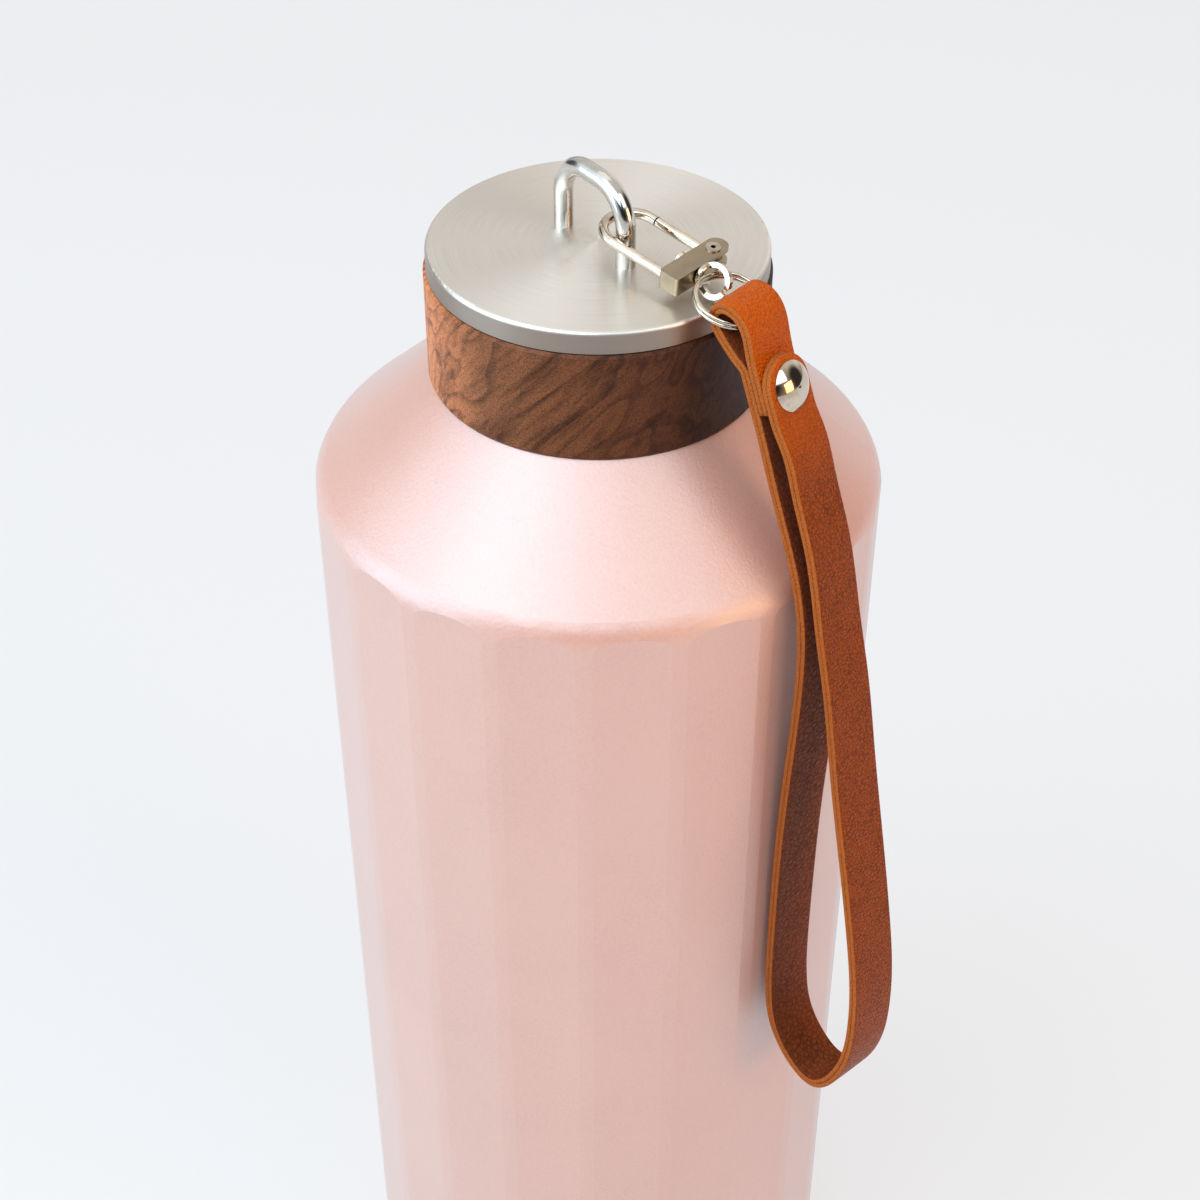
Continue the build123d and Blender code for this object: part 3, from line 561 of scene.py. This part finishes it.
def strap_frames():
    """Place, width direction, outward direction and half width at each station."""
    places = np.array([strap_along * near_edge + strap_out * p[0] + above * (lid_top + p[1]) for p in route])
    headings = np.gradient(places, axis=0)
    frames = []
    clamp_drop = clamp_place[1]
    for index, (place, heading) in enumerate(zip(places, headings)):
        drop = place[2] - lid_top
        share = min(1, max(0, (drop - clamp_drop) / (twist_low_height - clamp_drop)))
        smooth = share * share * (3 - 2 * share)
        side = turned(twist_at_tip + (twist_low - twist_at_tip) * smooth)
        heading = heading - side * heading.dot(side)
        heading = heading / np.linalg.norm(heading)
        half = strap_width / 2
        if index < tip_stations:
            along = tip_round * (1 - math.cos(math.pi / 2 * index / tip_stations))
            half = math.sqrt(max(0, tip_round ** 2 - (tip_round - along) ** 2))
        frames.append((place, side, np.cross(heading, side), max(half, least_half)))
    return frames


# A ply's cross section: rounded edges, a groove between the plies and slightly bulging faces
FACE, EDGE = 0, 1
edge_round = 0.30
round_middle = 0.29
groove_depth = 0.10
groove_width = 0.16
face_crown = 0.05
lining_crown = 0.04
crown_steps = 8


def ply_profile(half, low, high, round_high):
    """Closed outline of one ply: across, up and the finish of the side that starts there."""
    top = high if round_high else low
    inner = low if round_high else high
    lift = 1 if round_high else -1
    crown = face_crown if round_high else lining_crown
    soft = min(edge_round, half * 0.45)
    cut = min(groove_width, half * 0.4)
    groove_top = inner + lift * groove_depth
    points = [(half, groove_top, EDGE), (half, top - lift * soft, EDGE)]
    points.append((half - soft * round_middle, top - lift * soft * round_middle, FACE))
    points.append((half - soft, top, FACE))
    for k in range(1, crown_steps):
        x = (half - soft) * (1 - 2 * k / crown_steps)
        points.append((x, top + crown * (1 - (x / half) ** 2), FACE))
    points.append((-half + soft, top, FACE))
    points.append((-half + soft * round_middle, top - lift * soft * round_middle, EDGE))
    points.append((-half, top - lift * soft, EDGE))
    points.append((-half, groove_top, EDGE))
    points.append((-half + cut, inner, EDGE))
    points.append((half - cut, inner, EDGE))
    return points


def build_ply(name, low, high, round_high, face_finish):
    frames = strap_frames()
    profile = ply_profile(strap_width / 2, low, high, round_high)
    around = len(profile)
    vertices, faces, kinds = [], [], []
    for place, side, outward, half in frames:
        middle = place + side * strap_width / 2
        for across, height, _ in ply_profile(half, low, high, round_high):
            vertices.append((middle + side * across + outward * height) * mm)
    for ring in range(len(frames) - 1):
        for k in range(around):
            a, b = ring * around + k, ring * around + (k + 1) % around
            quad = (a, b, b + around, a + around)
            faces.append(quad if round_high else quad[::-1])
            kinds.append(profile[k][2])
    last = (len(frames) - 1) * around
    first_cap = tuple(range(around))
    last_cap = tuple(range(last, last + around))
    faces.append(first_cap[::-1] if round_high else first_cap)
    faces.append(last_cap if round_high else last_cap[::-1])
    kinds += [EDGE, EDGE]
    mesh = bpy.data.meshes.new(name)
    mesh.from_pydata(vertices, [], faces)
    mesh.materials.append(face_finish)
    mesh.materials.append(raw_edge)
    mesh.polygons.foreach_set("material_index", kinds)
    mesh.polygons.foreach_set("use_smooth", [True] * len(faces))
    mesh.polygons[-1].use_smooth = False
    mesh.update()
    piece = bpy.data.objects.new(name, mesh)
    scene.collection.objects.link(piece)
    return piece


outer_strap = build_ply("wrist_strap_face", ply_gap / 2, ply_thickness, True, leather_face)
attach(outer_strap, "strap")
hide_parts("strap_outer_ply")
inner_strap = build_ply("wrist_strap_lining", -ply_thickness, -ply_gap / 2, False, leather_lining)
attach(inner_strap, "strap")
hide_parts("strap_inner_ply")


# Floor, world and lamps
floor_reach = 14.0
floor_mesh = bpy.data.meshes.new("studio_floor")
floor_mesh.from_pydata(
    [(-floor_reach, -floor_reach, 0), (floor_reach, -floor_reach, 0), (floor_reach, floor_reach, 0),
     (-floor_reach, floor_reach, 0)], [], [(0, 1, 2, 3)],
)
floor = bpy.data.objects.new("studio_floor", floor_mesh)
scene.collection.objects.link(floor)
floor_material, floor_board, floor_shader = material_board("studio_floor")
floor_board.set(floor_shader, Base_Color=FLOOR_WHITE, Roughness=0.9)
floor_board.set(floor_shader, Emission_Color=FLOOR_GLOW, Emission_Strength=1.0)
floor_mesh.materials.append(floor_material)

# The studio round the bottle: light walls and ceiling, with dark places where the camera and stands are
world = bpy.data.worlds.new("studio")
scene.world = world
world.use_nodes = True
world_board = Board(world.node_tree)
studio_strength = 0.80
background = world.node_tree.nodes["Background"]
direction = world_board.add("ShaderNodeTexCoord").outputs["Generated"]
studio_tone = world_board.ramp(
    world_board.spread(world_board.axes(direction)["Z"], 0.0, 1.0),
    [(0.0, STUDIO_LOW), (0.3, STUDIO_WALL), (0.6, STUDIO_HIGH), (1.0, STUDIO_CEILING)],
)


def tone_towards(colour, aim, full, gone, shade):
    """Gives the studio another tone round one direction; full and gone are cosines from it."""
    dot = world_board.add("ShaderNodeVectorMath", operation="DOT_PRODUCT")
    world_board.link(direction, dot.inputs[0])
    dot.inputs[1].default_value = Vector(aim).normalized()
    spot = world_board.share_between(dot.outputs["Value"], gone, full, "SMOOTHSTEP")
    return world_board.blend(spot, colour, shade)


studio_places = [
    ((-0.08, 0.66, 0.75), 0.97, 0.82, (0.95, 0.93, 0.90, 1)),
    ((0.44, 0.86, 0.26), 0.985, 0.90, (1.25, 1.2, 1.15, 1)),
    ((-1.0, -0.2, 0.10), 0.95, 0.30, (0.72, 0.80, 0.88, 1)),
    ((-0.76, -0.18, 0.60), 0.96, 0.72, (1.55, 1.75, 1.9, 1)),
    ((0.74, -0.18, 0.62), 0.96, 0.74, (1.15, 1.08, 1.0, 1)),
    ((0.80, -0.55, 0.25), 0.95, 0.40, (0.42, 0.33, 0.26, 1)),
    ((0.0, -0.92, 0.36), 0.95, 0.74, (0.02, 0.02, 0.022, 1)),
    ((0.95, 0.10, 0.30), 0.96, 0.86, (0.05, 0.045, 0.04, 1)),
    ((-0.80, 0.55, 0.12), 0.98, 0.92, (0.12, 0.12, 0.12, 1)),
]
for aim, full, gone, shade in studio_places:
    studio_tone = tone_towards(studio_tone, aim, full, gone, shade)
light_path = world_board.add("ShaderNodeLightPath")
seen = world_board.blend(light_path.outputs["Is Camera Ray"], studio_tone, STUDIO_SEEN)
world_board.link(seen, background.inputs["Color"])
background.inputs["Strength"].default_value = studio_strength


def add_lamp(name, place, aim, size, power, colour, spread=180):
    lamp_data = bpy.data.lights.new(name, "AREA")
    lamp_data.shape = "RECTANGLE"
    lamp_data.size, lamp_data.size_y = size
    lamp_data.energy = power
    lamp_data.color = colour
    lamp_data.spread = math.radians(spread)
    lamp = bpy.data.objects.new(name, lamp_data)
    lamp.location = place
    lamp.rotation_euler = (Vector(aim) - Vector(place)).to_track_quat("-Z", "Y").to_euler()
    scene.collection.objects.link(lamp)


lid_aim = (0, 0, 0.22)
add_lamp("key_softbox", (-0.48, -0.62, 1.20), lid_aim, (1.3, 0.8), 9.6, (0.78, 0.91, 1.0))
add_lamp("front_softbox", (0.48, -0.60, 1.10), lid_aim, (0.8, 0.6), 3.2, (0.76, 0.90, 1.0))
add_lamp("left_softbox", (-1.10, -0.25, 0.42), lid_aim, (0.9, 0.7), 4.8, (0.54, 0.81, 1.0))
add_lamp("top_softbox", (-0.20, 0.42, 1.30), lid_aim, (0.7, 0.6), 0.7, (1.0, 0.96, 0.90))
add_lamp("right_fill", (0.95, -0.60, 0.55), (0, 0, 0.17), (0.5, 0.5), 1.25, (1.0, 0.54, 0.25), 100)
